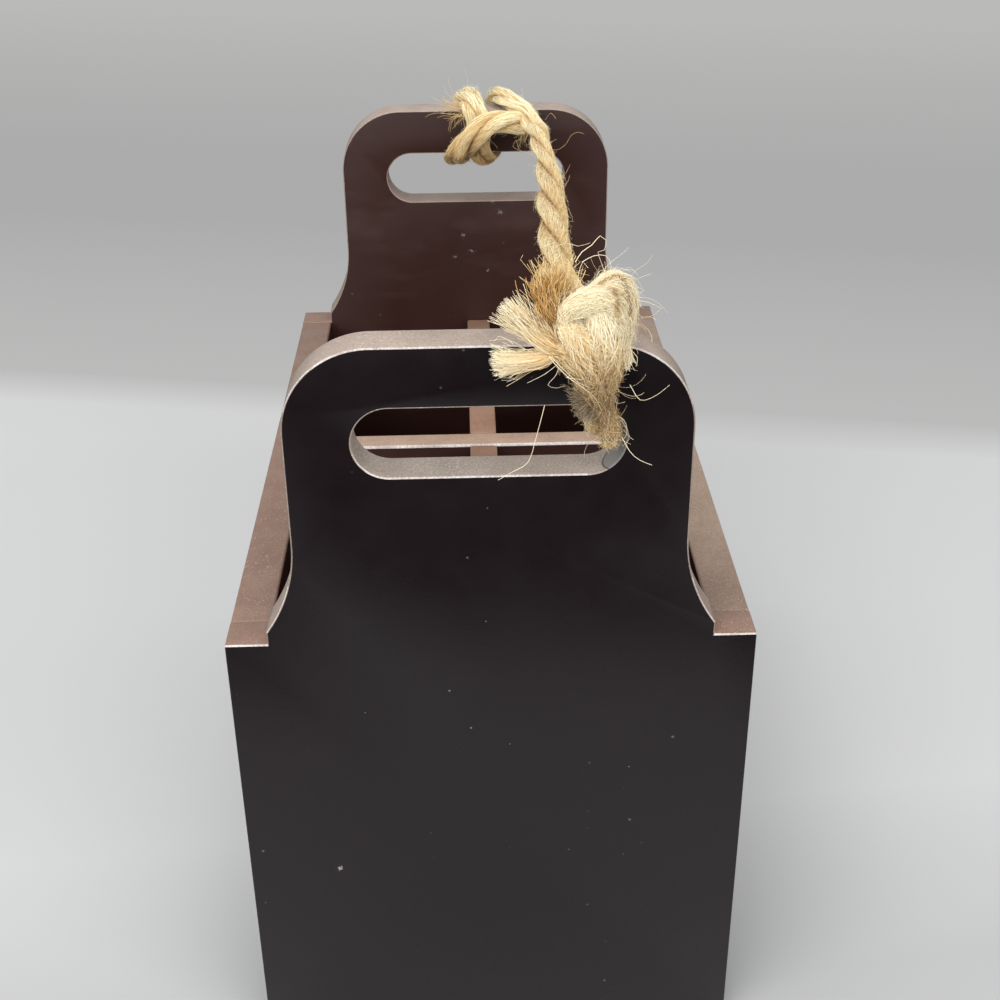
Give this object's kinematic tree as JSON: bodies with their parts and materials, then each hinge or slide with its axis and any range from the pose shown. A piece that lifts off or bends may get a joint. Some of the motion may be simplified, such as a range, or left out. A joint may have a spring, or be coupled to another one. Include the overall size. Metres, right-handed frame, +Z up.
{
  "type": "seed box",
  "caption": "Open painted wooden seed box with crossed dividers, arched end handles with hand slots, and a jute rope hitched between the handles.",
  "frame": {"origin": "middle of the underside, on the surface the box stands on", "axes": "+Z up, Y along the box with the front end panel at -Y, X across it"},
  "size_m": [0.15, 0.2876, 0.2616],
  "materials": {
    "painted_end_panel": "dark espresso satin paint over board, edges worn paler",
    "painted_side_panel": "dark espresso satin paint, top edges worn paler",
    "painted_divider": "dark brown satin paint",
    "jute_rope": "three-strand natural jute, hairy",
    "jute_frayed": "cut and unlaid jute fibre",
    "brad_steel": "plain steel wire"
  },
  "bodies": {
    "box": {"front_end_panel": "painted_end_panel", "rear_end_panel": "painted_end_panel", "left_side_panel": "painted_side_panel", "right_side_panel": "painted_side_panel", "floor_board": "painted_divider", "long_divider": "painted_divider", "cross_divider": "painted_divider", "rear_rope_hitch": "jute_rope", "rear_frayed_end": "jute_frayed", "front_rope_hitch": "jute_rope", "front_frayed_end": "jute_frayed", "front_divider_brad_1": "brad_steel", "front_divider_brad_2": "brad_steel", "front_floor_brad_1": "brad_steel", "front_floor_brad_2": "brad_steel", "front_left_corner_brad_1": "brad_steel", "front_left_corner_brad_2": "brad_steel", "front_left_corner_brad_3": "brad_steel", "front_right_corner_brad_1": "brad_steel", "front_right_corner_brad_2": "brad_steel", "front_right_corner_brad_3": "brad_steel", "left_divider_brad_1": "brad_steel", "left_divider_brad_2": "brad_steel", "left_floor_brad_1": "brad_steel", "left_floor_brad_2": "brad_steel", "rear_divider_brad_1": "brad_steel", "rear_divider_brad_2": "brad_steel", "rear_floor_brad_1": "brad_steel", "rear_floor_brad_2": "brad_steel", "rear_left_corner_brad_1": "brad_steel", "rear_left_corner_brad_2": "brad_steel", "rear_left_corner_brad_3": "brad_steel", "rear_right_corner_brad_1": "brad_steel", "rear_right_corner_brad_2": "brad_steel", "rear_right_corner_brad_3": "brad_steel", "right_divider_brad_1": "brad_steel", "right_divider_brad_2": "brad_steel", "right_floor_brad_1": "brad_steel", "right_floor_brad_2": "brad_steel"},
    "rope": {"rope_span": "jute_rope"}
  },
  "joints": [
    {"name": "rope_swing", "type": "hinge", "parent": "box", "child": "rope", "pos_m": [0.0265, 0, 0.237], "axis": [0, 1, 0], "range_deg": [-180, 180]}
  ]
}
